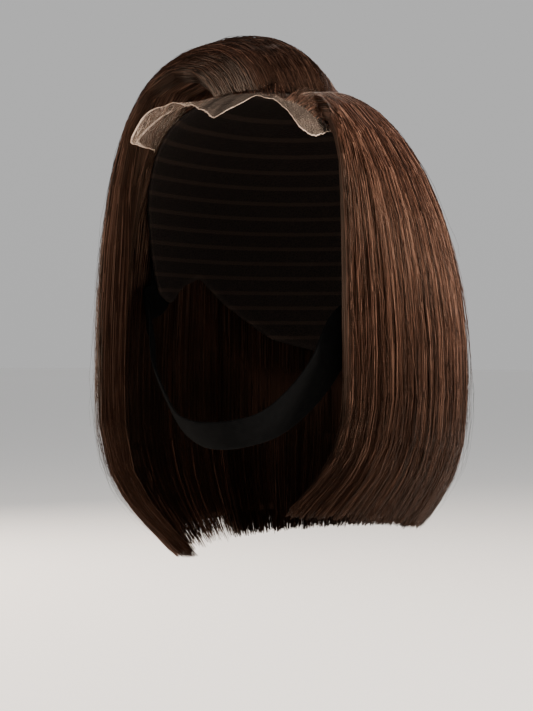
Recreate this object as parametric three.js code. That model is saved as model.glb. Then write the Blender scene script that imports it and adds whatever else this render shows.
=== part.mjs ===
// A straight bob wig with a deep side part, held as a head holds it. Millimetres: +X is the wearer's
// left, -Y is the way the face looks, +Z is up, and the origin is the top of the inside of the cap.
import * as THREE from "three";

// Cap
const capHalfWidth = 76;
const capHalfLength = 97;
const capDome = 104;
const capRoundness = 2.4;
const capWall = 1.2;

// Clearances
const layerClearance = 0.45;
const hairClearance = 0.9;
const panelGap = 0.6;
const strapLift = 0.5;

// Hair
const hairSideBody = 25;
const hairBackBody = 10;
const hairHalfWidth = capHalfWidth + hairSideBody;
const hairHalfDepth = capHalfLength + hairBackBody;
const bellyDepth = 160;
const hemDepth = 242;
const crestReach = 50;
const crestRise = 32.5;
const tuckReach = 50;
const sweepReach = 30;
const rootThickness = 1.2;
const fillThickness = 60;
const archThickness = 6;
const curtainThickness = 15;
const hemThickness = 9;
const lockRelief = 2.4;
const lockWidth = 15;
const hemStagger = 3.5;
const partingWidth = 3;
const crownRadius = 6;

// Handles of a strand's curve, as shares of the step that each one shapes
const rootHandle = 0.8;
const crestHandle = 0.6;
const bellyHandle = 0.6;
const curlHandle = { rise: 0.3, tuck: 0.7, sweep: 0.6 };

// Where a curtain's wall changes, as shares of a strand's length from the root
const reliefFull = 0.3;
const archEnd = 0.2;
const hangingStart = 0.5;
const fillEnd = 0.25;
const fillGone = 0.6;
const staggerStart = 0.75;
const staggerTurn = 2.4;
const edgeWallShare = 1.5;

// Where the hair starts and ends making room for the strap, below the origin
const strapRoomTop = 30;
const strapRoomFull = 80;

// How far past the rim the curtains still lie on the head form, in degrees
const coverFull = 14;
const coverGone = 22;

// Lace
const laceThickness = 1;
const laceOverlap = 4;
const laceRipple = 1.6;
const laceWave = 11;
const laceLift = 16;

// Chin strap
const strapWidth = 20;
const strapThickness = 1.5;

// The hair's inner face lies over the cap and the lace, and clears the strap lower down.
const hairSeat = capWall + layerClearance + laceThickness + hairClearance;
const strapRoom = strapThickness + strapLift;

// Fineness of the surfaces
const strandSteps = 17;
const columnsPerLock = 3;
const capColumns = 36;
const capRows = 8;
const laceColumns = 40;
const laceRows = 4;
const strapSteps = 44;
const partingSteps = 10;

// Rim of the cap, the same on both sides: azimuth is from the front, and elevation is seen from the
// middle of the head at the height of its widest level, both in degrees.
const capRim = [
  { azimuth: 0, elevation: 69 },
  { azimuth: 12, elevation: 69 },
  { azimuth: 25, elevation: 65 },
  { azimuth: 39, elevation: 60 },
  { azimuth: 50, elevation: 51 },
  { azimuth: 62, elevation: 40 },
  { azimuth: 74, elevation: 21 },
  { azimuth: 83, elevation: -4 },
  { azimuth: 92, elevation: -9 },
  { azimuth: 102, elevation: -1 },
  { azimuth: 113, elevation: 3 },
  { azimuth: 126, elevation: -7 },
  { azimuth: 146, elevation: -19 },
  { azimuth: 180, elevation: -26 },
];

// Free edge of the lace, from the left temple to the lifted corner at the right temple: drop is in
// degrees below the rim, shift in degrees along it, lift and ripple are shares of the named sizes.
const laceEdge = [
  { azimuth: 51, drop: 3, shift: 0, lift: 0, ripple: 0 },
  { azimuth: 46, drop: 9, shift: 0, lift: 0, ripple: 0 },
  { azimuth: 41, drop: 14.5, shift: 0, lift: 0, ripple: 0 },
  { azimuth: 36, drop: 15, shift: 0, lift: 0, ripple: 0.5 },
  { azimuth: 31, drop: 10, shift: 0, lift: 0.06, ripple: 1 },
  { azimuth: 23, drop: 8, shift: 0, lift: 0.06, ripple: 0.6 },
  { azimuth: 14, drop: 6.5, shift: 0, lift: 0, ripple: 0.2 },
  { azimuth: 8, drop: 12, shift: 0, lift: 0, ripple: 0.3 },
  { azimuth: 0, drop: 19, shift: 0, lift: 0, ripple: 0.6 },
  { azimuth: -7, drop: 17, shift: 0, lift: 0, ripple: 0.6 },
  { azimuth: -14, drop: 14, shift: 0, lift: 0.04, ripple: 1 },
  { azimuth: -21, drop: 11, shift: 0, lift: 0.14, ripple: 1 },
  { azimuth: -29, drop: 9, shift: 0, lift: 0.35, ripple: 1 },
  { azimuth: -37, drop: 9, shift: 1, lift: 0.62, ripple: 1 },
  { azimuth: -43, drop: 11, shift: 2, lift: 0.7, ripple: 1 },
  { azimuth: -47, drop: 13, shift: 4, lift: 0.64, ripple: 0.5 },
  { azimuth: -50, drop: 7, shift: 2, lift: 0.06, ripple: 0 },
  { azimuth: -52.5, drop: 4, shift: 0, lift: 0, ripple: 0 },
];

// The part seen from above, from the crown to its front end, and the front hairline on either side of
// it, in shares of the cap's half width and half length.
const partLine = [
  { x: 0.29, y: 0.23 },
  { x: 0.35, y: 0.03 },
  { x: 0.39, y: -0.17 },
  { x: 0.39, y: -0.37 },
];
const rightHairline = [
  { x: 0.2, y: -0.44 },
  { x: 0, y: -0.45 },
  { x: -0.2, y: -0.46 },
];
const leftHairline = [
  { x: 0.46, y: -0.4 },
  { x: 0.55, y: -0.42 },
  { x: 0.62, y: -0.43 },
];
const leftRoots = partLine.concat(leftHairline);
const rightRoots = partLine.concat(rightHairline);

// Guide strands of each curtain. hang is the azimuth at the widest level; along is the root's place
// on the root line, 0 at the crown, 1 at the front of the part and 2 at the end of the hairline;
// out and rise place the crest, in shares of crestReach and crestRise; shoulder and flank square the
// fall from the crest at its top and at its side; reach, hem, tuck, sweep, wall and fill are shares of
// the named sizes.
const guideColumns = [
  "hang", "along", "out", "rise", "shoulder", "flank", "reach", "hem", "tuck", "sweep", "wall", "fill",
];
const leftGuides = table(guideColumns, [
  [54, 1.9, 0.08, 0, 0.7, 0.7, 0.835, 0.93, 0.1, 1, 0.34, 0],
  [61, 1.5, 0.08, 0, 0.67, 0.67, 0.88, 0.935, 0.15, 0.9, 0.45, 0.05],
  [69, 1.05, 0.07, 0, 0.62, 0.62, 0.93, 0.94, 0.22, 0.75, 0.6, 0.15],
  [81, 0.72, 0.06, 0, 0.53, 0.56, 0.97, 0.955, 0.32, 0.4, 0.9, 0.4],
  [95, 0.45, 0.05, 0, 0.43, 0.57, 1, 0.965, 0.4, 0.15, 1, 1],
  [110, 0.2, 0.05, 0, 0.37, 0.63, 1, 0.98, 0.44, 0, 1, 1],
  [125, 0, 0.05, 0, 0.33, 0.69, 1, 0.985, 0.46, 0, 1, 1],
]);
const backGuides = table(guideColumns, [
  [125, 0, 0.05, 0, 0.33, 0.69, 1, 0.985, 0.46, 0, 1, 1],
  [147, 0, 0.05, 0, 0.43, 0.79, 1, 0.99, 0.48, 0, 1, 1],
  [169, 0, 0.07, 0.04, 0.57, 0.83, 1, 1, 0.5, 0, 1, 1],
  [191, 0, 0.22, 0.2, 0.62, 0.82, 1, 1.01, 0.5, 0, 1, 1],
  [213, 0, 0.5, 0.54, 0.64, 0.7, 1, 1.02, 0.52, 0, 1, 1],
  [235, 0, 0.72, 0.8, 0.66, 0.6, 1, 1.03, 0.56, 0, 1, 1],
]);
const swoopGuides = table(guideColumns, [
  [235, 0, 0.72, 0.8, 0.66, 0.6, 1, 1.03, 0.56, 0, 1, 1],
  [250, 0.2, 0.83, 0.93, 0.68, 0.6, 1, 1.04, 0.62, 0, 1, 1],
  [265, 0.45, 0.86, 1, 0.69, 0.6, 1, 1.045, 0.66, 0, 1, 1],
  [278, 0.7, 0.86, 1, 0.7, 0.6, 1, 1.05, 0.7, 0, 1, 1],
  [289, 0.95, 0.82, 0.96, 0.7, 0.6, 1, 1.055, 0.75, 0, 1, 0.8],
  [296, 1.25, 0.68, 0.86, 0.69, 0.6, 1, 1.055, 0.79, 0, 1, 0.4],
  [300, 1.6, 0.52, 0.7, 0.72, 0.6, 1, 1.055, 0.82, 0, 1, 0.1],
  [303, 2, 0.4, 0.5, 0.7, 0.6, 0.99, 1.05, 0.83, 0, 1, 0],
]);

// Centre line of the left half of the strap below its sewn end, in shares of the cap's half width,
// half length and dome.
const strapLine = [
  { x: 1.035, y: -0.18, drop: 1.12 },
  { x: 0.93, y: -0.32, drop: 1.17 },
  { x: 0.79, y: -0.43, drop: 1.26 },
  { x: 0.7, y: -0.51, drop: 1.46 },
  { x: 0.54, y: -0.57, drop: 1.63 },
  { x: 0.36, y: -0.65, drop: 1.75 },
  { x: 0.16, y: -0.73, drop: 1.8 },
  { x: 0, y: -0.75, drop: 1.81 },
];
const jawMiddle = { y: -0.2, drop: 1.35 };
const strapTabAzimuth = 87;
const strapTabElevations = [7, 1, -5];

// Where the strap turns from facing away from the jaw to lying flat on the tabs, in shares of the
// cap's half width.
const strapSewnStart = 0.85;
const strapSewnFull = 1;

// Share of the part over which the parting strip's direction is measured, either way.
const partingReach = 0.02;

const headMiddle = new THREE.Vector3(0, 0, -capDome);
const degrees = THREE.MathUtils.degToRad;

// Rows of named values from rows of plain numbers.
function table(columns, rows) {
  return rows.map((row) => Object.fromEntries(columns.map((name, k) => [name, row[k]])));
}

// Value of a column of a table at a row place, on a Catmull-Rom curve through the rows.
function columnAt(rows, name, place) {
  const last = rows.length - 1;
  const i = Math.min(Math.floor(place), last - 1);
  const t = place - i;
  const value = (k) => rows[THREE.MathUtils.clamp(k, 0, last)][name];
  const [a, b, c, d] = [value(i - 1), value(i), value(i + 1), value(i + 2)];
  const cubic = 3 * b - a - 3 * c + d;
  const square = 2 * a - 5 * b + 4 * c - d;
  return b + 0.5 * t * (c - a + t * (square + t * cubic));
}

// Value of a column at a given azimuth, straight between the rows.
function atAzimuth(rows, name, azimuth) {
  const sign = rows[0].azimuth < rows[1].azimuth ? 1 : -1;
  let k = 1;
  while (k < rows.length - 1 && sign * rows[k].azimuth < sign * azimuth) k += 1;
  const [from, to] = [rows[k - 1], rows[k]];
  const t = (azimuth - from.azimuth) / (to.azimuth - from.azimuth);
  return from[name] + (to[name] - from[name]) * t;
}

// Distance from the middle of the head to the head form, grown by offset, along a direction.
function formRadius(direction, offset) {
  const power = (size, half) => Math.pow(Math.abs(size) / (half + offset), capRoundness);
  const sum =
    power(direction.x, capHalfWidth) + power(direction.y, capHalfLength) + power(direction.z, capDome);
  return Math.pow(sum, -1 / capRoundness);
}

// Point of the head form at an azimuth and elevation in degrees.
function formPoint(azimuth, elevation, offset) {
  const direction = new THREE.Vector3(
    Math.cos(degrees(elevation)) * Math.sin(degrees(azimuth)),
    -Math.cos(degrees(elevation)) * Math.cos(degrees(azimuth)),
    Math.sin(degrees(elevation)),
  );
  return direction.multiplyScalar(formRadius(direction, offset)).add(headMiddle);
}

// Point of the upper head form above a place in plan.
function formTop(x, y, offset) {
  const flat =
    Math.pow(Math.abs(x) / (capHalfWidth + offset), capRoundness) +
    Math.pow(Math.abs(y) / (capHalfLength + offset), capRoundness);
  const height = (capDome + offset) * Math.pow(1 - flat, 1 / capRoundness);
  return new THREE.Vector3(x, y, height - capDome);
}

// Closed solid between two grids of points: rows run along the first index, strands along the second.
function slab(outer, inner) {
  const wide = outer.length;
  const long = outer[0].length;
  const positions = [];
  for (const grid of [outer, inner])
    for (const row of grid) for (const p of row) positions.push(p.x, p.y, p.z);
  const index = [];
  const out = (i, j) => i * long + j;
  const back = (i, j) => wide * long + i * long + j;
  const quad = (a, b, c, d) => index.push(a, b, c, a, c, d);
  for (let i = 0; i < wide - 1; i += 1)
    for (let j = 0; j < long - 1; j += 1) {
      quad(out(i, j), out(i, j + 1), out(i + 1, j + 1), out(i + 1, j));
      quad(back(i, j), back(i + 1, j), back(i + 1, j + 1), back(i, j + 1));
    }
  for (let j = 0; j < long - 1; j += 1) {
    quad(out(0, j), back(0, j), back(0, j + 1), out(0, j + 1));
    quad(out(wide - 1, j), out(wide - 1, j + 1), back(wide - 1, j + 1), back(wide - 1, j));
  }
  for (let i = 0; i < wide - 1; i += 1) {
    quad(out(i, 0), out(i + 1, 0), back(i + 1, 0), back(i, 0));
    quad(out(i, long - 1), back(i, long - 1), back(i + 1, long - 1), out(i + 1, long - 1));
  }
  return geometryOf(positions, index);
}

function geometryOf(positions, index) {
  const geometry = new THREE.BufferGeometry();
  geometry.setAttribute("position", new THREE.Float32BufferAttribute(positions, 3));
  geometry.setIndex(index);
  geometry.computeVertexNormals();
  return geometry;
}

// Place on a root line, in plan: along is 0 at the crown, 1 at the front of the part, 2 at the end.
function rootPlan(roots, along) {
  const partSteps = partLine.length - 1;
  const hairSteps = roots.length - partLine.length;
  const place = along < 1 ? along * partSteps : partSteps + (along - 1) * hairSteps;
  return {
    x: columnAt(roots, "x", place) * capHalfWidth,
    y: columnAt(roots, "y", place) * capHalfLength,
  };
}

// Points of one strand of a curtain, evenly spaced from its root to its tip. shift moves the strand
// sideways, to leave the gap between two curtains.
function strand(roots, guides, share, shift) {
  const place = share * (guides.length - 1);
  const get = (name) => columnAt(guides, name, place);
  const hang = degrees(get("hang"));
  const radial = new THREE.Vector3(Math.sin(hang), -Math.cos(hang), 0);
  const sideways = new THREE.Vector3(Math.cos(hang), Math.sin(hang), 0);
  const belly = new THREE.Vector3(
    radial.x * hairHalfWidth * get("reach"),
    radial.y * hairHalfDepth * get("reach"),
    -bellyDepth,
  );
  const plan = rootPlan(roots, get("along"));
  const away = new THREE.Vector3(belly.x - plan.x, belly.y - plan.y, 0).normalize();
  const crown = Math.max(0, 1 - get("along") * (partLine.length - 1));
  const start = partingWidth / 2 + (crownRadius - partingWidth / 2) * crown;
  const root = formTop(
    plan.x + away.x * start,
    plan.y + away.y * start,
    hairSeat + rootThickness,
  );
  const out = crestReach * get("out");
  const rise = crestRise * get("rise");
  const crest = root.clone().addScaledVector(away, out);
  crest.z += rise;
  const span = Math.hypot(belly.x - crest.x, belly.y - crest.y);
  const fall = crest.z - belly.z;
  const drop = hemDepth * get("hem") - bellyDepth;
  const tuck = tuckReach * get("tuck");
  const sweep = sweepReach * get("sweep");
  const tip = belly.clone().addScaledVector(radial, -tuck).addScaledVector(sideways, -sweep);
  tip.z -= drop;
  const up = (point, amount) => new THREE.Vector3(point.x, point.y, point.z + amount);
  const curl = up(tip, curlHandle.rise * drop)
    .addScaledVector(radial, curlHandle.tuck * tuck)
    .addScaledVector(sideways, curlHandle.sweep * sweep);
  const path = new THREE.CurvePath();
  path.add(
    new THREE.CubicBezierCurve3(
      root,
      up(root, rootHandle * rise),
      crest.clone().addScaledVector(away, -crestHandle * out),
      crest,
    ),
  );
  path.add(
    new THREE.CubicBezierCurve3(
      crest,
      crest.clone().addScaledVector(away, span * get("shoulder")),
      up(belly, fall * get("flank")),
      belly,
    ),
  );
  path.add(new THREE.CubicBezierCurve3(belly, up(belly, -bellyHandle * drop), curl, tip));
  return path.getSpacedPoints(strandSteps).map((p) => p.addScaledVector(sideways, shift));
}

// Height of a lock above its grooves, 0 to 1, at a place counted in locks.
function lockShape(place) {
  return Math.abs(Math.sin(Math.PI * place));
}

// Distance from the middle line of the head to the head form, grown by offset, along a ray: from the
// middle of the head above its widest level, and level with the point below it.
function formDistance(ray, height, offset) {
  if (height >= headMiddle.z) return formRadius(ray, offset);
  const below = Math.pow((headMiddle.z - height) / (capDome + offset), capRoundness);
  return formRadius(ray, offset) * Math.pow(Math.max(0, 1 - below), 1 / capRoundness);
}

// Whether the cap or the lace lies under a point: 1 over them, 0 well past their rim.
function capCover(point) {
  const azimuth = Math.abs(THREE.MathUtils.radToDeg(Math.atan2(point.x, -point.y)));
  const height = point.z - headMiddle.z;
  const elevation = THREE.MathUtils.radToDeg(Math.atan2(height, Math.hypot(point.x, point.y)));
  const rim = atAzimuth(capRim, "elevation", azimuth);
  return THREE.MathUtils.smoothstep(elevation, rim - coverGone, rim - coverFull);
}

// A curtain of hair: strands in locks on the outside, and the head form or a wall's depth inside.
function curtain(roots, guides) {
  const last = guides.length - 1;
  const arc = degrees(guides[last].hang - guides[0].hang) * ((hairHalfWidth + hairHalfDepth) / 2);
  const locks = Math.round(arc / lockWidth);
  const wide = locks * columnsPerLock;
  const outer = [];
  const inner = [];
  for (let i = 0; i <= wide; i += 1) {
    const share = i / wide;
    const edge = i === 0 ? panelGap / 2 : i === wide ? -panelGap / 2 : 0;
    const get = (name) => columnAt(guides, name, share * last);
    const lock = lockShape(share * locks);
    const stagger = hemStagger * lock * Math.sin(staggerTurn * Math.ceil(share * locks));
    const outerRow = [];
    const innerRow = [];
    strand(roots, guides, share, edge).forEach((point, j) => {
      const t = j / strandSteps;
      const low = THREE.MathUtils.smoothstep(t, staggerStart, 1);
      const middle = new THREE.Vector3(0, 0, Math.min(point.z, headMiddle.z));
      const ray = point.clone().sub(middle);
      const distance = ray.length();
      ray.normalize();
      const strapped = THREE.MathUtils.smoothstep(-point.z, strapRoomTop, strapRoomFull);
      const room = hairSeat + strapRoom * strapped;
      const archWall = archThickness * Math.min(1, get("wall") * edgeWallShare);
      const hanging = THREE.MathUtils.lerp(curtainThickness, hemThickness, t * t * t) * get("wall");
      const hung = THREE.MathUtils.smoothstep(t, archEnd, hangingStart);
      const wall = THREE.MathUtils.lerp(archWall, hanging, hung);
      const emptied = THREE.MathUtils.smoothstep(t, fillEnd, fillGone);
      const filled = fillThickness * get("fill") * (1 - emptied);
      const seated = Math.min(distance - formDistance(ray, point.z, room), wall + filled);
      const depth = Math.max(rootThickness, THREE.MathUtils.lerp(wall, seated, capCover(point)));
      const relief = lockRelief * lock * THREE.MathUtils.smoothstep(t, 0, reliefFull);
      const lift = new THREE.Vector3(0, 0, stagger * low);
      outerRow.push(point.clone().addScaledVector(ray, relief).add(lift));
      innerRow.push(point.clone().addScaledVector(ray, -depth).add(lift));
    });
    outer.push(outerRow);
    inner.push(innerRow);
  }
  return slab(outer, inner);
}

// The cap: the head form down to its rim, with its wall on the outside.
function capShell() {
  const positions = [];
  const index = [];
  const ring = (side, row, k) => 2 + (side * capRows + row) * capColumns + (k % capColumns);
  for (const offset of [capWall, 0]) {
    const pole = formPoint(0, 90, offset);
    positions.push(pole.x, pole.y, pole.z);
  }
  for (const offset of [capWall, 0])
    for (let row = 1; row <= capRows; row += 1)
      for (let k = 0; k < capColumns; k += 1) {
        const azimuth = (360 * k) / capColumns - 180;
        const rim = atAzimuth(capRim, "elevation", Math.abs(azimuth));
        const p = formPoint(azimuth, 90 + ((rim - 90) * row) / capRows, offset);
        positions.push(p.x, p.y, p.z);
      }
  for (let k = 0; k < capColumns; k += 1) {
    index.push(0, ring(0, 0, k), ring(0, 0, k + 1));
    index.push(1, ring(1, 0, k + 1), ring(1, 0, k));
    for (let row = 0; row < capRows - 1; row += 1) {
      const outside = [ring(0, row, k), ring(0, row + 1, k), ring(0, row + 1, k + 1), ring(0, row, k + 1)];
      const inside = [ring(1, row, k), ring(1, row, k + 1), ring(1, row + 1, k + 1), ring(1, row + 1, k)];
      for (const [a, b, c, d] of [outside, inside]) index.push(a, b, c, a, c, d);
    }
    const [a, b] = [ring(0, capRows - 1, k), ring(0, capRows - 1, k + 1)];
    const [c, d] = [ring(1, capRows - 1, k + 1), ring(1, capRows - 1, k)];
    index.push(a, d, c, a, c, b);
  }
  return geometryOf(positions, index);
}

// The lace past the front rim: it overlaps the cap's outside, lies on the forehead and ripples at its
// free edge, and one corner stands away from the head.
function laceStrip() {
  const from = laceEdge[laceEdge.length - 1].azimuth;
  const to = laceEdge[0].azimuth;
  const overlap = THREE.MathUtils.radToDeg(laceOverlap / capDome);
  const outer = [];
  const inner = [];
  for (let i = 0; i <= laceColumns; i += 1) {
    const azimuth = from + ((to - from) * i) / laceColumns;
    const drop = atAzimuth(laceEdge, "drop", azimuth);
    const shift = atAzimuth(laceEdge, "shift", azimuth);
    const lift = atAzimuth(laceEdge, "lift", azimuth) * laceLift;
    const wave = 1 + Math.sin((2 * Math.PI * azimuth) / laceWave);
    const ripple = (atAzimuth(laceEdge, "ripple", azimuth) * laceRipple * wave) / 2;
    const rim = atAzimuth(capRim, "elevation", Math.abs(azimuth));
    const outerRow = [];
    const innerRow = [];
    for (let j = 0; j <= laceRows; j += 1) {
      const v = j / laceRows;
      const elevation = rim + overlap - (drop + overlap) * v;
      const seat = capWall + layerClearance + ripple * v + lift * v * v;
      outerRow.push(formPoint(azimuth + shift * v, elevation, seat + laceThickness));
      innerRow.push(formPoint(azimuth + shift * v, elevation, seat));
    }
    outer.push(outerRow);
    inner.push(innerRow);
  }
  return slab(outer, inner);
}

// The strip of lace base in the parting, from the crown to the front of the part.
function partingStrip() {
  const half = partingWidth / 2 - layerClearance;
  const outer = [];
  const inner = [];
  for (let i = 0; i <= partingSteps; i += 1) {
    const share = i / partingSteps;
    const here = rootPlan(rightRoots, share);
    const ahead = rootPlan(rightRoots, Math.min(1, share + partingReach));
    const behind = rootPlan(rightRoots, Math.max(0, share - partingReach));
    const along = new THREE.Vector2(ahead.x - behind.x, ahead.y - behind.y).normalize();
    const place = (side, offset) => formTop(here.x - side * along.y, here.y + side * along.x, offset);
    const seat = capWall + layerClearance;
    outer.push([half, -half].map((side) => place(side, seat + laceThickness)));
    inner.push([half, -half].map((side) => place(side, seat)));
  }
  return slab(outer, inner);
}

// The chin strap: flat elastic sewn on the outside of both ear tabs and passing under the jaw.
function strapBand() {
  const seat = capWall + layerClearance + strapThickness / 2 + strapLift;
  const half = strapTabElevations.map((elevation) => formPoint(strapTabAzimuth, elevation, seat));
  for (const row of strapLine)
    half.push(new THREE.Vector3(row.x * capHalfWidth, row.y * capHalfLength, -row.drop * capDome));
  const mirrored = half.slice(0, -1).reverse();
  const points = half.concat(mirrored.map((p) => new THREE.Vector3(-p.x, p.y, p.z)));
  const path = new THREE.CatmullRomCurve3(points, false, "centripetal");
  const jaw = new THREE.Vector3(0, jawMiddle.y * capHalfLength, -jawMiddle.drop * capDome);
  const outer = [];
  const inner = [];
  for (let i = 0; i <= strapSteps; i += 1) {
    const centre = path.getPointAt(i / strapSteps);
    const along = path.getTangentAt(i / strapSteps);
    const side = Math.abs(centre.x) / capHalfWidth;
    const sewn = THREE.MathUtils.smoothstep(side, strapSewnStart, strapSewnFull);
    const out = centre.clone().sub(jaw).lerp(new THREE.Vector3(centre.x, 0, 0), sewn);
    out.addScaledVector(along, -out.dot(along)).normalize();
    const across = along.clone().cross(out);
    const place = (width, depth) =>
      centre.clone().addScaledVector(across, width).addScaledVector(out, depth);
    const widths = [-strapWidth / 2, 0, strapWidth / 2];
    outer.push(widths.map((width) => place(width, strapThickness / 2)));
    inner.push(widths.map((width) => place(width, -strapThickness / 2)));
  }
  return slab(outer, inner);
}

function material(color, roughness) {
  return new THREE.MeshStandardMaterial({ color, roughness, metalness: 0 });
}

const hair = material("#3a2118", 0.42);
const lace = material("#d9b48c", 0.75);
const net = material("#2a1b16", 0.9);
const elastic = material("#0e0e10", 0.85);

const wig = new THREE.Group();

function add(name, geometry, finish) {
  const mesh = new THREE.Mesh(geometry, finish);
  mesh.name = name;
  wig.add(mesh);
}

add("wig_cap", capShell(), net);
add("lace_front", laceStrip(), lace);
add("parting_lace", partingStrip(), lace);
add("hair_left", curtain(leftRoots, leftGuides), hair);
add("hair_back", curtain(rightRoots, backGuides), hair);
add("hair_swoop", curtain(rightRoots, swoopGuides), hair);
add("chin_strap", strapBand(), elastic);

export default wig;
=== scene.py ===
import math

import bpy
import numpy as np
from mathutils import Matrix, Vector


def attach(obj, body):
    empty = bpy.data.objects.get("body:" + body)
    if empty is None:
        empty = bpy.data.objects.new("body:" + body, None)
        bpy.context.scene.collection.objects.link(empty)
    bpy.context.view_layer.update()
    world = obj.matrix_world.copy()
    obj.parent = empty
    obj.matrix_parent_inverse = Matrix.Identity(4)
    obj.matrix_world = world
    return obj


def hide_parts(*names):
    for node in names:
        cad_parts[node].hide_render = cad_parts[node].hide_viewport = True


# Looks of a straight lace-front bob wig. Forms are in millimetres and become metres where a mesh is
# made; strand settings, camera and studio are in metres. +X is the wearer's left, -Y is the way the
# face looks, +Z is up.
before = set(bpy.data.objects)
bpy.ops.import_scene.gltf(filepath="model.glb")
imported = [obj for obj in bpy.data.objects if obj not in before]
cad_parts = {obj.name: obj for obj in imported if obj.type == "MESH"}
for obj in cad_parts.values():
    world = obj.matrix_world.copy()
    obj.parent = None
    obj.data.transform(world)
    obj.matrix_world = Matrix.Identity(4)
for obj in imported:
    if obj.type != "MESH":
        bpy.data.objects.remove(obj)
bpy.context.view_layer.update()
mm = 0.001

cap = {"halfWidth": 76, "halfLength": 97, "dome": 104, "roundness": 2.4, "wall": 1.2}

# Rim of the cap, the same on both sides: degrees from the front, and degrees above the widest level.
capRim = {
    "columns": ["azimuth", "elevation"],
    "rows": [
        [0, 69], [12, 69], [25, 65], [39, 60], [50, 51], [62, 40], [74, 21],
        [83, -4], [92, -9], [102, -1], [113, 3], [126, -7], [146, -19], [180, -26],
    ],
}


def table(columns, rows):
    return {"columns": columns, "rows": np.array(rows, float)}


def rowAt(values, place):  # a row of a table, on a Catmull-Rom curve through its rows
    rows = values["rows"]
    last = len(rows) - 1
    i = min(int(place), last - 1)
    t = place - i
    a, b, c, d = (rows[min(max(k, 0), last)] for k in (i - 1, i, i + 1, i + 2))
    cubic = 3 * b - a - 3 * c + d
    square = 2 * a - 5 * b + 4 * c - d
    return dict(zip(values["columns"], b + 0.5 * t * (c - a + t * (square + t * cubic))))


def smooth(values, low, high):
    t = np.clip((np.asarray(values, float) - low) / (high - low), 0, 1)
    return t * t * (3 - 2 * t)


def blend(a, b, t):
    return a + (b - a) * t


# Head form: the cap's inside, grown by an offset.
def formRadius(direction, offset):
    sizes = np.array([cap["halfWidth"], cap["halfLength"], cap["dome"]], float)
    sizes = sizes + np.asarray(offset, float)[..., None]
    shares = (np.abs(direction) / sizes) ** cap["roundness"]
    return shares.sum(axis=-1) ** (-1 / cap["roundness"])


def formPoint(azimuth, elevation, offset):
    a, e = np.radians(azimuth), np.radians(elevation)
    direction = np.stack([np.cos(e) * np.sin(a), -np.cos(e) * np.cos(a), np.sin(e)], axis=-1)
    return direction * formRadius(direction, offset)[..., None] - [0, 0, cap["dome"]]


def formTop(x, y, offset):
    power = cap["roundness"]
    flat = (abs(x) / (cap["halfWidth"] + offset)) ** power
    flat += (abs(y) / (cap["halfLength"] + offset)) ** power
    return np.array([x, y, (cap["dome"] + offset) * (1 - flat) ** (1 / power) - cap["dome"]])


def rimElevation(azimuth):
    rows = np.array(capRim["rows"], float)
    return np.interp(np.abs(azimuth), rows[:, 0], rows[:, 1])


# Mesh helpers
def link(obj):
    bpy.context.scene.collection.objects.link(obj)
    return obj


def meshObject(name, points, faces, uvs=None, material=None):
    mesh = bpy.data.meshes.new(name)
    mesh.from_pydata((np.asarray(points) * mm).tolist(), [], faces)
    if uvs is not None:
        layer = mesh.uv_layers.new(name="flow")
        corners = np.zeros(len(mesh.loops), np.int32)
        mesh.loops.foreach_get("vertex_index", corners)
        layer.data.foreach_set("uv", np.asarray(uvs, np.float32)[corners].ravel())
    mesh.polygons.foreach_set("use_smooth", np.ones(len(mesh.polygons), bool))
    if material:
        mesh.materials.append(material)
    mesh.update()
    return link(bpy.data.objects.new(name, mesh))


def gridFaces(wide, long, start=0, turned=False):
    faces = []
    for i in range(wide - 1):
        for j in range(long - 1):
            a = start + i * long + j
            quad = [a, a + 1, a + long + 1, a + long]
            faces.append(quad[::-1] if turned else quad)
    return faces


def gridFlow(wide, long):
    u, v = np.meshgrid(np.linspace(0, 1, wide), np.linspace(0, 1, long), indexing="ij")
    return np.stack([u, v], axis=-1).reshape(-1, 2)


def slabObject(name, outer, inner, material):  # closed wall between two grids
    wide, long = outer.shape[:2]
    points = np.concatenate([outer.reshape(-1, 3), inner.reshape(-1, 3)])
    back = wide * long
    faces = gridFaces(wide, long) + gridFaces(wide, long, back, True)
    for j in range(long - 1):
        a, b = j, (wide - 1) * long + j
        faces.append([a, back + a, back + a + 1, a + 1])
        faces.append([b, b + 1, back + b + 1, back + b])
    for i in range(wide - 1):
        a, b = i * long, i * long + long - 1
        faces.append([a, a + long, back + a + long, back + a])
        faces.append([b, back + b, back + b + long, b + long])
    flow = gridFlow(wide, long)
    return meshObject(name, points, faces, np.concatenate([flow, flow]), material)


# Node helpers
def put(tree, kind, inputs=None, **settings):
    node = tree.nodes.new(kind)
    for name, value in settings.items():
        setattr(node, name, value)
    for key, value in (inputs or {}).items():
        if isinstance(value, bpy.types.NodeSocket):
            tree.links.new(value, node.inputs[key])
        else:
            node.inputs[key].default_value = value
    return node


def treeOf(values):  # the node tree of the first socket among the values
    return next(value.id_data for value in values if isinstance(value, bpy.types.NodeSocket))


def calc(operation, *values):
    inputs = dict(enumerate(values))
    return put(treeOf(values), "ShaderNodeMath", inputs, operation=operation).outputs[0]


def plus(a, b):
    return calc("ADD", a, b)


def minus(a, b):
    return calc("SUBTRACT", a, b)


def times(a, b):
    return calc("MULTIPLY", a, b)


def move(operation, *values):
    inputs = dict(enumerate(values))
    return put(treeOf(values), "ShaderNodeVectorMath", inputs, operation=operation).outputs[0]


def scaled(vector, amount):
    node = put(vector.id_data, "ShaderNodeVectorMath", {0: vector, "Scale": amount}, operation="SCALE")
    return node.outputs[0]


def within(value, low, high):
    return calc("MINIMUM", calc("MAXIMUM", value, low), high)


def mapped(value, ends, results, **settings):  # from one range to another, and never past it
    return put(value.id_data, "ShaderNodeMapRange", {
        "Value": value, "From Min": ends[0], "From Max": ends[1], "To Min": results[0], "To Max": results[1],
    }, **settings).outputs[0]


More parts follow.
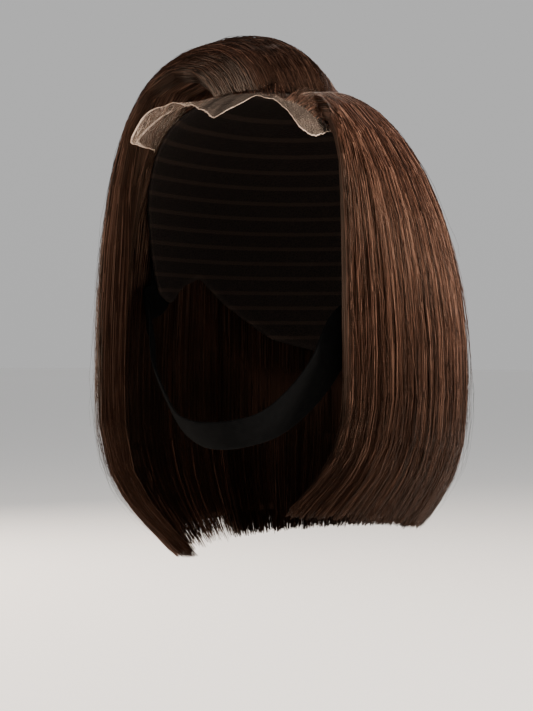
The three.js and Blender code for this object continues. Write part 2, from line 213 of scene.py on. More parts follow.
def noise(place, scale, detail, output=0):
    node = put(place.id_data, "ShaderNodeTexNoise", {"Vector": place, "Scale": scale, "Detail": detail})
    return node.outputs[output]


def streaksOf(flow, scale, detail):  # noise drawn out along the flow
    drawn = put(flow.id_data, "ShaderNodeMapping", {"Vector": flow, "Scale": scale}).outputs[0]
    return noise(drawn, 1.0, detail)


def cellEdges(place, cell):  # distance from the threads of a net with cells of this size
    size = {"Vector": place, "Scale": 1 / (cell * mm)}
    node = put(place.id_data, "ShaderNodeTexVoronoi", size, feature="DISTANCE_TO_EDGE")
    return node.outputs["Distance"]


def bumped(shader, height, strength, distance):
    inputs = {"Height": height, "Strength": strength, "Distance": distance}
    bump = put(height.id_data, "ShaderNodeBump", inputs)
    height.id_data.links.new(bump.outputs[0], shader.inputs["Normal"])


def partsOf(vector):
    return put(vector.id_data, "ShaderNodeSeparateXYZ", {0: vector}).outputs


def flowOf(tree):
    return put(tree, "ShaderNodeUVMap", uv_map="flow").outputs[0]


def placeOf(tree):
    return put(tree, "ShaderNodeTexCoord").outputs["Object"]


def ramp(value, stops):
    node = put(value.id_data, "ShaderNodeValToRGB", {0: value})
    elements = node.color_ramp.elements
    while len(elements) < len(stops):
        elements.new(1.0)
    for element, (place, color) in zip(elements, stops):
        element.position = place
        element.color = (*color, 1) if len(color) == 3 else color
    return node.outputs[0]


def newTree(name, inputs):
    tree = bpy.data.node_groups.new(name, "GeometryNodeTree")
    tree.interface.new_socket("Surface", in_out="INPUT", socket_type="NodeSocketGeometry")
    kinds = {int: "NodeSocketInt", float: "NodeSocketFloat", type(None): "NodeSocketMaterial"}
    for label, value in inputs.items():
        socket = tree.interface.new_socket(label, in_out="INPUT", socket_type=kinds[type(value)])
        if value is not None:
            socket.default_value = value
    tree.interface.new_socket("Result", in_out="OUTPUT", socket_type="NodeSocketGeometry")
    return tree


def grow(name, source, tree, values):  # the tree's result on a source object, as a plain mesh
    modifier = source.modifiers.new("growth", "NODES")
    modifier.node_group = tree
    for item in tree.interface.items_tree:
        if item.in_out == "INPUT" and item.name in values:
            modifier[item.identifier] = values[item.name]
    depsgraph = bpy.context.evaluated_depsgraph_get()
    evaluated = source.evaluated_get(depsgraph)
    mesh = bpy.data.meshes.new_from_object(
        evaluated, preserve_all_data_layers=True, depsgraph=depsgraph
    )
    source.modifiers.remove(modifier)
    mesh.name = name
    piece = link(bpy.data.objects.new(name, mesh))
    print("grown", name, sum(len(p.vertices) - 2 for p in mesh.polygons), "triangles")
    return piece


def finishPiece(piece, slot, *nodes):
    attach(piece, "root")
    if nodes:
        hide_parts(*nodes)


def newMaterial(name, color, roughness, **sockets):
    material = bpy.data.materials.new(name)
    material.use_nodes = True
    shader = material.node_tree.nodes["Principled BSDF"]
    shader.inputs["Base Color"].default_value = (*color, 1)
    shader.inputs["Roughness"].default_value = roughness
    for label, value in sockets.items():
        shader.inputs[label.replace("_", " ")].default_value = value
    return material, material.node_tree, shader


# Camera: eye level with the middle of the hair, turned towards the wearer's left front.
view = {"place": (0.4922, -0.8705, -0.146), "lens": 120.6, "sensor": 36.0, "azimuth": 30}
camera = link(bpy.data.objects.new("camera", bpy.data.cameras.new("camera")))
camera.data.sensor_fit = "HORIZONTAL"
camera.data.sensor_width = view["sensor"]
camera.data.lens = view["lens"]
camera.location = view["place"]
camera.rotation_euler = (math.radians(90), 0, math.radians(view["azimuth"]))
bpy.context.scene.camera = camera

# Hair: the guides are the same for the walls and for the strands that lie on them.
hair = {
    "seat": 3.55, "strapRoom": 2.0, "strapRoomTop": 30, "strapRoomFull": 80,
    "halfWidth": 101, "halfDepth": 107, "bellyDepth": 160, "hemDepth": 242,
    "crestReach": 50, "crestRise": 32.5, "tuckReach": 50, "sweepReach": 30,
    "rootThickness": 1.2, "fillThickness": 60, "archThickness": 6, "curtainThickness": 15,
    "hemThickness": 9, "relief": 1.3, "lockWidth": 15,
    "partingWidth": 3, "coverFull": 14, "coverGone": 22, "columnsPerLock": 6, "steps": 64,
    "rootHandle": 0.8, "crestHandle": 0.6, "bellyHandle": 0.6, "crestGain": 1.05,
    "curlDrop": 0.3, "curlTuck": 0.7, "curlSweep": 0.6, "easeLeast": 4, "easeLifted": 12,
    "easeEnds": (0.4, 0.6), "archGain": 1.5, "archEnds": (0.2, 0.5), "fillEnds": (0.25, 0.6),
    "reliefEnds": (0, 0.3), "lockWaves": ((0.83, 0.2), (4.3, 0.6)),
}
# Strands start on the lace, close round the crown, and may end past the hem; walls do neither.
strandLayout = {"crownRadius": 2, "rootSeat": 2.2, "seat": 3.8, "tipLength": 6}
wallLayout = {"crownRadius": 6, "rootSeat": 4.75, "seat": 4.75, "tipLength": 0}

# The part from above, from the crown to its front end, and the hairline past it for either side, in
# shares of the cap's half sizes.
partLine = [[0.29, 0.23], [0.35, 0.03], [0.39, -0.17], [0.39, -0.37]]
partSteps = len(partLine) - 1
leftRoots = table(["x", "y"], partLine + [[0.46, -0.4], [0.55, -0.42], [0.62, -0.43]])
rightRoots = table(["x", "y"], partLine + [[0.2, -0.44], [0, -0.45], [-0.2, -0.46]])
rootLines = {"hair_left": leftRoots, "hair_back": rightRoots, "hair_swoop": rightRoots}

guideColumns = [
    "hang", "along", "out", "rise", "shoulder", "flank", "reach", "hem", "tuck", "sweep", "wall", "fill",
]
guides = {
    "hair_left": table(guideColumns, [
        [54, 1.9, 0.08, 0, 0.7, 0.7, 0.835, 0.93, 0.1, 1, 0.34, 0],
        [61, 1.5, 0.08, 0, 0.67, 0.67, 0.88, 0.935, 0.15, 0.9, 0.45, 0.05],
        [69, 1.05, 0.07, 0, 0.62, 0.62, 0.93, 0.94, 0.22, 0.75, 0.6, 0.15],
        [81, 0.72, 0.06, 0, 0.53, 0.56, 0.97, 0.955, 0.32, 0.4, 0.9, 0.4],
        [95, 0.45, 0.05, 0, 0.43, 0.57, 1, 0.965, 0.4, 0.15, 1, 1],
        [110, 0.2, 0.05, 0, 0.37, 0.63, 1, 0.98, 0.44, 0, 1, 1],
        [125, 0, 0.05, 0, 0.33, 0.69, 1, 0.985, 0.46, 0, 1, 1],
    ]),
    "hair_back": table(guideColumns, [
        [125, 0, 0.05, 0, 0.33, 0.69, 1, 0.985, 0.46, 0, 1, 1],
        [147, 0, 0.05, 0, 0.43, 0.79, 1, 0.99, 0.48, 0, 1, 1],
        [169, 0, 0.07, 0.04, 0.57, 0.83, 1, 1, 0.5, 0, 1, 1],
        [191, 0, 0.22, 0.2, 0.62, 0.82, 1, 1.01, 0.5, 0, 1, 1],
        [213, 0, 0.5, 0.54, 0.64, 0.7, 1, 1.02, 0.52, 0, 1, 1],
        [235, 0, 0.72, 0.8, 0.66, 0.6, 1, 1.03, 0.56, 0, 1, 1],
    ]),
    "hair_swoop": table(guideColumns, [
        [235, 0, 0.72, 0.8, 0.66, 0.6, 1, 1.03, 0.56, 0, 1, 1],
        [250, 0.2, 0.83, 0.93, 0.68, 0.6, 1, 1.04, 0.62, 0, 1, 1],
        [265, 0.45, 0.86, 1, 0.69, 0.6, 1, 1.045, 0.66, 0, 1, 1],
        [278, 0.7, 0.86, 1, 0.7, 0.6, 1, 1.05, 0.7, 0, 1, 1],
        [289, 0.95, 0.82, 0.96, 0.7, 0.6, 1, 1.055, 0.75, 0, 1, 0.8],
        [296, 1.25, 0.68, 0.86, 0.69, 0.6, 1, 1.055, 0.79, 0, 1, 0.4],
        [300, 1.6, 0.52, 0.7, 0.72, 0.6, 1, 1.055, 0.82, 0, 1, 0.1],
        [303, 2, 0.4, 0.5, 0.7, 0.6, 0.99, 1.05, 0.83, 0, 1, 0],
    ]),
}


def rootPlan(roots, along):
    hairSteps = len(roots["rows"]) - 1 - partSteps
    place = along * partSteps if along < 1 else partSteps + (along - 1) * hairSteps
    row = rowAt(roots, place)
    return np.array([row["x"] * cap["halfWidth"], row["y"] * cap["halfLength"]])


def bezier(a, b, c, d, count=48):
    t = np.linspace(0, 1, count)[:, None]
    return (1 - t) ** 3 * a + 3 * (1 - t) ** 2 * t * b + 3 * (1 - t) * t * t * c + t**3 * d


def evenly(points, steps):
    runs = np.concatenate([[0], np.cumsum(np.linalg.norm(np.diff(points, axis=0), axis=1))])
    places = np.linspace(0, runs[-1], steps + 1)
    return np.stack([np.interp(places, runs, points[:, k]) for k in range(3)], axis=1)


def eased(points, rounds):  # rounds off the turn over the crest, and leaves the ends alone
    soft = points.copy()
    for _ in range(rounds):
        soft[1:-1] = 0.25 * soft[:-2] + 0.5 * soft[1:-1] + 0.25 * soft[2:]
    share = np.linspace(0, 1, len(points))[:, None]
    return blend(soft, points, smooth(share, *hair["easeEnds"]))


def strandPath(roots, row, layout, steps):  # one strand from its root to its tip
    hang = math.radians(row["hang"])
    radial = np.array([math.sin(hang), -math.cos(hang), 0])
    sideways = np.array([math.cos(hang), math.sin(hang), 0])
    up = np.array([0, 0, 1.0])
    sizes = np.array([hair["halfWidth"], hair["halfDepth"], 0]) * row["reach"]
    belly = radial * sizes - up * hair["bellyDepth"]
    plan = rootPlan(roots, row["along"])
    away = np.append(belly[:2] - plan, 0)
    away /= np.linalg.norm(away)
    crown = max(0, 1 - row["along"] * partSteps)
    start = blend(hair["partingWidth"] / 2, layout["crownRadius"], crown)
    foot = plan + away[:2] * start
    seated = formTop(foot[0], foot[1], layout["seat"])
    root = formTop(foot[0], foot[1], layout["rootSeat"])
    out = hair["crestReach"] * row["out"] * hair["crestGain"]
    rise = hair["crestRise"] * row["rise"] * hair["crestGain"]
    crest = seated + away * out + up * rise
    span = np.linalg.norm((belly - crest)[:2])
    fall = crest[2] - belly[2]
    drop = hair["hemDepth"] * row["hem"] - hair["bellyDepth"]
    tuck = hair["tuckReach"] * row["tuck"]
    sweep = hair["sweepReach"] * row["sweep"]
    tip = belly - radial * tuck - sideways * sweep - up * drop
    curl = tip + up * hair["curlDrop"] * drop
    curl = curl + radial * hair["curlTuck"] * tuck + sideways * hair["curlSweep"] * sweep
    rising, arriving = up * hair["rootHandle"] * rise, away * hair["crestHandle"] * out
    path = np.concatenate([
        bezier(root, root + rising, crest - arriving, crest),
        bezier(crest, crest + away * span * row["shoulder"], belly + up * fall * row["flank"], belly),
        bezier(belly, belly - up * hair["bellyHandle"] * drop, curl, tip),
    ])
    ending = path[-1] - path[-2]
    path = np.append(path, [tip + ending / np.linalg.norm(ending) * layout["tipLength"]], axis=0)
    rounds = hair["easeLeast"] + round(hair["easeLifted"] * max(0, row["rise"]))
    return eased(evenly(path, steps), rounds)


def formDistance(ray, height, offset):
    below = np.maximum(0, -cap["dome"] - height) / (cap["dome"] + offset)
    level = np.maximum(0, 1 - below ** cap["roundness"]) ** (1 / cap["roundness"])
    return formRadius(ray, offset) * level


def capCover(points):  # 1 where the cap or the lace lies under a point, 0 well past their rim
    azimuth = np.degrees(np.arctan2(points[:, 0], -points[:, 1]))
    height = points[:, 2] + cap["dome"]
    elevation = np.degrees(np.arctan2(height, np.hypot(points[:, 0], points[:, 1])))
    rim = rimElevation(azimuth)
    return smooth(elevation, rim - hair["coverGone"], rim - hair["coverFull"])


def lockHeight(place):  # uneven locks, 0 in a groove and 1 on a crest
    (slow, slowShift), (quick, quickShift) = hair["lockWaves"]
    broad = abs(math.sin(math.pi * (slow * place + slowShift)))
    return 0.5 * broad + 0.5 * abs(math.sin(quick * place + quickShift))


def curtain(name, layout):  # outer and inner grids of one curtain
    values = guides[name]
    last = len(values["rows"]) - 1
    hangs = values["rows"][:, 0]
    arc = math.radians(hangs[-1] - hangs[0]) * (hair["halfWidth"] + hair["halfDepth"]) / 2
    locks = round(arc / hair["lockWidth"])
    wide = locks * hair["columnsPerLock"]
    steps = hair["steps"]
    t = np.linspace(0, 1, steps + 1)
    outer, inner = [], []
    for i in range(wide + 1):
        share = i / wide
        row = rowAt(values, share * last)
        points = strandPath(rootLines[name], row, layout, steps)
        middle = np.zeros_like(points)
        middle[:, 2] = np.minimum(points[:, 2], -cap["dome"])
        ray = points - middle
        distance = np.linalg.norm(ray, axis=1)
        ray /= distance[:, None]
        room = hair["seat"] + hair["strapRoom"] * smooth(
            -points[:, 2], hair["strapRoomTop"], hair["strapRoomFull"]
        )
        edgeWall = hair["archThickness"] * min(1, row["wall"] * hair["archGain"])
        hanging = blend(hair["curtainThickness"], hair["hemThickness"], t**3) * row["wall"]
        wall = blend(edgeWall, hanging, smooth(t, *hair["archEnds"]))
        filled = hair["fillThickness"] * row["fill"] * (1 - smooth(t, *hair["fillEnds"]))
        form = np.array([formDistance(r, z, o) for r, z, o in zip(ray, points[:, 2], room)])
        seated = np.minimum(distance - form, wall + filled)
        depth = np.maximum(hair["rootThickness"], blend(wall, seated, capCover(points)))
        swell = hair["relief"] * lockHeight(share * locks) * smooth(t, *hair["reliefEnds"])
        outer.append(points + ray * swell[:, None])
        inner.append(points - ray * depth[:, None])
    return np.array(outer), np.array(inner)


# Hair materials
hairColors = {
    "strand": [
        (0.0, (0.0050, 0.0014, 0.0006)), (0.25, (0.011, 0.0035, 0.0017)), (0.5, (0.028, 0.0104, 0.0056)),
        (0.75, (0.074, 0.0330, 0.0205)), (1.0, (0.165, 0.0860, 0.0560)),
    ],
    # The wall ramp is painted shade: much darker than the strand ramp, for the shade deep under the strands.
    "wall": [
        (0.25, (0.003, 0.0010, 0.0005)), (0.5, (0.008, 0.0026, 0.0013)), (0.8, (0.022, 0.0076, 0.0037)),
    ],
    "strandPlain": (0.04, 0.017, 0.01), "roughness": 0.34, "specular": 0.18,
    "specularTint": (1.0, 0.66, 0.45, 1.0), "patchScale": 55.0, "patchShare": 0.35,
}
wallLook = {
    "plain": (0.02, 0.009, 0.005), "roughness": 0.55, "specular": 0.15, "streaks": (260, 2.5, 1),
    "locks": (46, 1.2, 1), "streakShare": 0.6, "lockShare": 0.4, "bump": (0.8, 0.0012),
}


def strandMaterial(name, dark=1.0):
    material, tree, shader = newMaterial(
        name, hairColors["strandPlain"], hairColors["roughness"],
        Specular_IOR_Level=hairColors["specular"], Specular_Tint=hairColors["specularTint"],
    )
    tint = put(tree, "ShaderNodeAttribute", attribute_name="tint").outputs["Fac"]
    paintedShade = put(tree, "ShaderNodeAttribute", attribute_name="paintedShade").outputs["Fac"]
    place = placeOf(tree)
    patch = minus(noise(place, hairColors["patchScale"], 2.0), 0.5)
    mixed = plus(tint, times(patch, hairColors["patchShare"]))
    color = ramp(mixed, hairColors["strand"])
    # Base colour: the tint ramp, times the painted shade stored along the strand, times this copy's factor
    # (below 1 for painted shade, above 1 for painted light).
    tree.links.new(scaled(color, times(paintedShade, dark)), shader.inputs["Base Color"])
    return material


def wallMaterial(name):
    material, tree, shader = newMaterial(
        name, wallLook["plain"], wallLook["roughness"],
        Specular_IOR_Level=wallLook["specular"], Specular_Tint=hairColors["specularTint"],
    )
    flow = flowOf(tree)
    streak = times(streaksOf(flow, wallLook["streaks"], 3.0), wallLook["streakShare"])
    lock = times(streaksOf(flow, wallLook["locks"], 2.0), wallLook["lockShare"])
    both = plus(streak, lock)
    # Painted shade: the streaks take their colour from the dark wall ramp.
    tree.links.new(ramp(both, hairColors["wall"]), shader.inputs["Base Color"])
    bumped(shader, both, *wallLook["bump"])
    return material


strandBrown = strandMaterial("strand_brown")
# Darker copies of the strand colour: painted shade on the inside strands and on the front-edge strands.
strandInsidePaintedShade = strandMaterial("strand_inside_painted_shade", 0.55)
strandEdgePaintedShade = strandMaterial("strand_edge_painted_shade", 0.6)
# A lighter copy of the strand colour: painted light on the fine fringe hairs.
strandFringePaintedLight = strandMaterial("strand_fringe_painted_light", 1.3)
wallPaintedShade = wallMaterial("hair_wall_painted_shade")


# Strands: tapered three-sided tubes that follow a surface from its roots to its hem.
# Two inputs set painted shade: how much darker the strands are coloured near their roots and towards their
# tips.
strandInputs = {
    "Strands": 100, "Points": 12, "Side From": 0.0, "Side To": 1.0, "From": 0.0, "To": 1.0,
    "Root Jitter": 0.01, "Fray": 0.05, "Depth": 0.002, "Wall From": 0.0, "Wall To": 0.0,
    "Lift": 0.0, "Clumps": 40.0, "Pull": 0.4, "Clump Depth": 0.001, "Wander": 0.01,
    "Frizz": 0.001, "Thickness": 0.00025, "Taper": 0.7, "Crowding": 0.5, "Root Painted Shade": 0.0,
    "Tip Painted Shade": 0.7, "Seed": 1, "Material": None,
}
# What all strands have in common: spans of chance, powers of growth towards the tip, and shares
habits = {
    "clumpSpan": 0.35, "clumpMiddle": (0.2, 0.8), "clumpGrip": (0.3, 1.0), "gripGrowth": 1.4,
    "noiseStep": 0.731, "slowWaves": 1.6, "quickWaves": 5.0, "wanderGrowth": 0.6, "margin": 0.001,
    "frayPower": 2.0, "clumpFray": 0.5, "clumpDepthGrowth": 0.5, "roomGain": 7.0, "roomLeast": 0.2,
    "liftGrowth": 1.5, "lifts": (0.3, 1.0), "frizzLeast": 0.25, "frizzGrowth": 2.0, "tintPower": 1.4,
    "tintShare": 0.78, "clumpTint": 0.22, "rootPaintedShadeEnds": (0.05, 0.2), "tipPaintedShadeEnds": (0.45, 0.95),
    "brightest": 1.05, "taperGrowth": 4.0, "girths": (0.65, 1.25), "sides": 3,
}


def buildStrandTree():
    tree = newTree("strands on a surface", strandInputs)
    given = put(tree, "NodeGroupInput").outputs
    line = put(tree, "GeometryNodeCurvePrimitiveLine").outputs[0]
    blank = put(tree, "GeometryNodeResampleCurve", {"Curve": line, "Count": given["Points"]}).outputs[0]
    points = put(tree, "GeometryNodePoints", {"Count": given["Strands"]}).outputs[0]
    copies = put(tree, "GeometryNodeInstanceOnPoints", {"Points": points, "Instance": blank}).outputs[0]
    curves = put(tree, "GeometryNodeRealizeInstances", {0: copies}).outputs[0]
    strand = put(tree, "GeometryNodeCurveOfPoint").outputs[0]
    factor = put(tree, "GeometryNodeSplineParameter").outputs["Factor"]
    bend = calc("SINE", times(factor, 2 * math.pi))
    bend = calc("DIVIDE", times(bend, given["Crowding"]), 2 * math.pi)
    along = minus(factor, bend)  # the points crowd towards both ends

    def chance(low, high, number, step):
        seed = plus(given["Seed"], step)
        return put(tree, "FunctionNodeRandomValue", {2: low, 3: high, 7: number, 8: seed}).outputs[1]

    # Which clump a strand belongs to, and how far it is drawn towards it
    side = chance(given["Side From"], given["Side To"], strand, 1)
    spread = chance(-habits["clumpSpan"], habits["clumpSpan"], strand, 2)
    clump = calc("FLOOR", plus(times(side, given["Clumps"]), spread))
    middle = plus(clump, chance(*habits["clumpMiddle"], clump, 3))
    middle = calc("DIVIDE", middle, given["Clumps"])
    grip = times(chance(*habits["clumpGrip"], clump, 4), given["Pull"])
    grip = times(grip, calc("POWER", along, habits["gripGrowth"]))
    drawn = times(minus(middle, side), grip)

    # Slow wander sideways and small unevenness, both from noise along the strand
    key = plus(times(strand, habits["noiseStep"]), given["Seed"])
    slow = times(along, habits["slowWaves"])
    wave = noise(put(tree, "ShaderNodeCombineXYZ", {0: key, 1: slow}).outputs[0], 1.0, 0.0)
    quick = times(along, habits["quickWaves"])
    rough = noise(put(tree, "ShaderNodeCombineXYZ", {0: key, 1: quick}).outputs[0], 1.0, 1.0, "Color")
    sway = times(minus(wave, 0.5), given["Wander"])
    sway = times(sway, calc("POWER", along, habits["wanderGrowth"]))
    across = plus(side, plus(drawn, sway))
    across = calc("PINGPONG", across, 1.0)  # a strand past the side comes back in
    across = within(across, habits["margin"], 1 - habits["margin"])

    # Where the strand starts and ends on the way from the roots to the hem
    first = plus(given["From"], chance(0.0, given["Root Jitter"], strand, 5))
    short = calc("POWER", chance(0.0, 1.0, strand, 6), habits["frayPower"])
    short = times(short, given["Fray"])
    uneven = times(chance(0.0, habits["clumpFray"], clump, 7), given["Fray"])
    end = minus(minus(given["To"], short), uneven)
    down = plus(first, times(minus(end, first), along))
    down = within(down, habits["margin"], 1 - habits["margin"])

    # The surface's point and its way in, at that place
    place = put(tree, "ShaderNodeCombineXYZ", {0: across, 1: down}).outputs[0]
    flow, wallWay = (
        put(tree, "GeometryNodeInputNamedAttribute", {"Name": label}, data_type="FLOAT_VECTOR").outputs[0]
        for label in ("flow", "inward")
    )
    here = put(tree, "GeometryNodeInputPosition").outputs[0]

    def sample(value):
        return put(tree, "GeometryNodeSampleUVSurface", {
            "Mesh": given["Surface"], "Value": value, "UV Map": flow, "Sample UV": place,
        }, data_type="FLOAT_VECTOR").outputs[0]

    skin, inward = sample(here), sample(wallWay)
    way = move("NORMALIZE", inward)
    depth = times(chance(0.0, 1.0, strand, 8), given["Depth"])
    sunk = times(chance(0.0, 1.0, clump, 9), given["Clump Depth"])
    sunk = times(sunk, calc("POWER", along, habits["clumpDepthGrowth"]))
    room = plus(times(down, habits["roomGain"]), habits["roomLeast"])
    room = calc("MINIMUM", room, 1.0)  # strands lie close together near their roots
    raised = times(calc("POWER", along, habits["liftGrowth"]), given["Lift"])
    raised = times(raised, chance(*habits["lifts"], strand, 10))
    depth = minus(times(plus(depth, sunk), room), raised)
    layer = chance(given["Wall From"], given["Wall To"], strand, 11)
    stray = plus(habits["frizzLeast"], calc("POWER", along, habits["frizzGrowth"]))
    stray = times(times(stray, room), given["Frizz"])
    shake = scaled(move("SUBTRACT", rough, (0.5, 0.5, 0.5)), stray)
    position = move("ADD", skin, scaled(way, depth))
    position = move("ADD", position, scaled(inward, layer))
    position = move("ADD", position, shake)
    curves = put(tree, "GeometryNodeSetPosition", {"Geometry": curves, "Position": position}).outputs[0]

    # Tint of each strand, painted shade that darkens it near its roots and towards its tip, and its
    # thickness
    tint = calc("POWER", chance(0.0, 1.0, strand, 12), habits["tintPower"])
    tint = times(tint, habits["tintShare"])
    tint = plus(tint, times(chance(0.0, 1.0, clump, 13), habits["clumpTint"]))
    gentle = {"interpolation_type": "SMOOTHSTEP"}
    paintedRootShade = mapped(down, habits["rootPaintedShadeEnds"], (given["Root Painted Shade"], 0.0), **gentle)
    paintedTipShade = mapped(down, habits["tipPaintedShadeEnds"], (0.0, given["Tip Painted Shade"]), **gentle)
    paintedShade = minus(habits["brightest"], paintedTipShade)
    paintedShade = times(paintedShade, minus(1.0, paintedRootShade))
    for label, value in (("tint", tint), ("paintedShade", paintedShade)):
        stored = {"Geometry": curves, "Name": label, "Value": value}
        curves = put(tree, "GeometryNodeStoreNamedAttribute", stored).outputs[0]
    thin = times(calc("POWER", along, habits["taperGrowth"]), given["Taper"])
    girth = times(minus(1.0, thin), chance(*habits["girths"], strand, 14))
    girth = times(girth, given["Thickness"])
    circle = {"Resolution": habits["sides"], "Radius": 1.0}
    profile = put(tree, "GeometryNodeCurvePrimitiveCircle", circle).outputs[0]
    tubes = put(tree, "GeometryNodeCurveToMesh", {
        "Curve": curves, "Profile Curve": profile, "Scale": girth, "Fill Caps": True,
    }).outputs[0]
    soft = put(tree, "GeometryNodeSetShadeSmooth", {"Geometry": tubes}).outputs[0]
    whole = put(tree, "GeometryNodeRealizeInstances", {0: soft}).outputs[0]
    done = put(tree, "GeometryNodeSetMaterial", {"Geometry": whole, "Material": given["Material"]})
    put(tree, "NodeGroupOutput", {0: done.outputs[0]})
    return tree


strandTree = buildStrandTree()


def guideSurface(name, outer, inner):  # the grid that strands follow, with its way in as an attribute
    wide, long = outer.shape[:2]
    surface = meshObject(name, outer.reshape(-1, 3), gridFaces(wide, long), gridFlow(wide, long))
    inward = surface.data.attributes.new("inward", "FLOAT_VECTOR", "POINT")
    inward.data.foreach_set("vector", ((inner - outer) * mm).astype(np.float32).ravel())
    return surface


# Walls of hair under the strands, coloured darker than the strands as painted shade, and the strands in
# passes: the outside, the front edges, the inside and the hem.
walls = {
    "recess": 2.6, "recessShare": 0.6, "start": 3,
    "ends": {"hair_left": 0.97, "hair_back": 0.985, "hair_swoop": 0.98},
    "trims": {"hair_left": (3, 1), "hair_back": (1, 1), "hair_swoop": (1, 3)},
}
insideLayer = {
    "Wall From": 0.94, "Wall To": 1.0, "Depth": 0.0006, "Clump Depth": 0.0004, "Frizz": 0.0008,
}
edgeLayer = {"Wall From": 0.0, "Wall To": 0.9, "Clumps": 60.0, "Frizz": 0.003}
hemLayer = {
    "Strands": 1200, "Points": 6, "From": 0.82, "Wall From": 0.0, "Wall To": 0.95, "Crowding": 0.0,
    "Frizz": 0.004, "Taper": 0.6,
}
passes = {
    "hair_left": {
        "outside": {"Strands": 2400, "Points": 13, "Clumps": 96.0, "Seed": 11},
        "edge": {
            **edgeLayer, "Strands": 420, "Points": 14, "Side From": 0.0, "Side To": 0.05, "Fray": 0.09,
            "Seed": 12,
        },
        "inside": {"Strands": 380, "Points": 10, **insideLayer, "From": 0.3, "Seed": 13},
        "hem": {**hemLayer, "Seed": 14},
    },
    "hair_back": {
        "outside": {
            "Strands": 2300, "Points": 12, "Clumps": 150.0, "Fray": 0.022, "Taper": 0.55, "Seed": 21,
        },
        "inside": {"Strands": 500, "Points": 10, **insideLayer, "From": 0.3, "Seed": 23},
        "hem": {
            "Strands": 2100, "Points": 5, "From": 0.8, "Wall From": 0.05, "Wall To": 0.98, "Fray": 0.022,
            "Crowding": 0.0, "Taper": 0.3, "Clumps": 220.0, "Pull": 0.15, "Seed": 24,
        },
    },
    "hair_swoop": {
        # The swoop's strands are coloured darker near their roots: painted shade on the front face under the
        # crest.
        "outside": {
            "Strands": 2050, "Points": 16, "Clumps": 96.0, "Crowding": 0.6, "Root Painted Shade": 0.68,
            "Tip Painted Shade": 0.2, "Root Jitter": 0.02, "Wander": 0.045, "Seed": 31,
        },
        "edge": {
            **edgeLayer, "Strands": 620, "Points": 16, "Side From": 0.95, "Side To": 1.0,
            "Crowding": 0.6, "Root Painted Shade": 0.68, "Tip Painted Shade": 0.0, "Seed": 32,
        },
        "inside": {"Strands": 450, "Points": 12, **insideLayer, "From": 0.1, "Seed": 33},
        "hem": {**hemLayer, "Fray": 0.03, "Tip Painted Shade": 0.2, "Seed": 34},
    },
}
common = {
    "Depth": 0.0017, "Clump Depth": 0.0009, "Wander": 0.03, "Frizz": 0.0018, "Pull": 0.45,
    "Fray": 0.05, "To": 1.0, "Taper": 0.8, "Crowding": 0.5,
}
# Hairs that leave the mass: flyaways stand off the outline, wisps cross the strands on the surface
strays = {
    "flyaways": {
        "Points": 14, "Lift": 0.0035, "Depth": 0.0, "Clump Depth": 0.0, "Wander": 0.14, "Frizz": 0.012,
        "Pull": 0.0, "Thickness": 0.0001, "Fray": 0.4, "Root Jitter": 0.2,
    },
    "wisps": {
        "Points": 16, "Lift": 0.0015, "Depth": 0.0, "Clump Depth": 0.0, "Wander": 0.22, "Frizz": 0.004,
        "Pull": 0.0, "Thickness": 0.00013, "Fray": 0.5, "Root Jitter": 0.35,
    },
}
strayCounts = {
    "hair_left": {"flyaways": (110, 41), "wisps": (110, 61)},
    "hair_back": {"flyaways": (100, 42), "wisps": (110, 62)},
    "hair_swoop": {"flyaways": (130, 43), "wisps": (110, 63)},
}

for panel, sections in passes.items():
    outer, inner = curtain(panel, strandLayout)
    surface = guideSurface(panel + "_guide", outer, inner)
    for section, values in sections.items():
        # The inside and front-edge passes take the darker copies as painted shade.
        material = {"inside": strandInsidePaintedShade, "edge": strandEdgePaintedShade}.get(section, strandBrown)
        settings = {**common, **values, "Material": material}
        piece = grow(f"{panel}_{section}", surface, strandTree, settings)
        finishPiece(piece, "hair")
    for kind, (count, seed) in strayCounts[panel].items():
        settings = {**strays[kind], "Strands": count, "Seed": seed, "Material": strandBrown}
        finishPiece(grow(f"{panel}_{kind}", surface, strandTree, settings), "hair")
    bpy.data.objects.remove(surface)

    outer, inner = curtain(panel, wallLayout)
    first, last = walls["trims"][panel]
    end = round(walls["ends"][panel] * hair["steps"])
    outer = outer[first:-last, walls["start"]:end]
    inner = inner[first:-last, walls["start"]:end]
    inward = inner - outer
    depth = np.linalg.norm(inward, axis=-1, keepdims=True)
    recess = np.minimum(walls["recess"], walls["recessShare"] * depth)
    outer = outer + inward / depth * recess
    finishPiece(slabObject(panel + "_wall", outer, inner, wallPaintedShade), "hair", panel)
print("hair made")


# Cap: stretch net with rows of wefts and a bound rim.
net = {
    "columns": 120, "rows": 36, "binding": 0.5, "bindingShare": 0.06, "cell": 1.5, "weftSpacing": 9.0,
    "plain": (0.012, 0.008, 0.006), "roughness": 0.9, "specular": 0.15, "threadFall": 5.0,
    "weftShare": 0.12, "threadHeight": 0.4, "shadeShare": 0.6, "bump": (0.7, 0.0006),
    "shades": [
        (0.0, (0.005, 0.0032, 0.0024)), (0.3, (0.014, 0.0088, 0.0064)), (1.0, (0.024, 0.0148, 0.0104)),
    ],
}


def netMaterial():
    material, tree, shader = newMaterial(
        "cap_net", net["plain"], net["roughness"], Specular_IOR_Level=net["specular"],
    )
    place = placeOf(tree)
    distance = times(cellEdges(place, net["cell"]), net["threadFall"])
    thread = calc("MAXIMUM", minus(1.0, distance), 0.0)
    height = partsOf(place)[2]
    rows = calc("PINGPONG", times(height, 1 / (net["weftSpacing"] * mm)), 0.5)
    weft = calc("LESS_THAN", rows, net["weftShare"])
    height = plus(times(thread, net["threadHeight"]), weft)
    color = ramp(times(height, net["shadeShare"]), net["shades"])
    tree.links.new(color, shader.inputs["Base Color"])
    bumped(shader, height, *net["bump"])
    return material


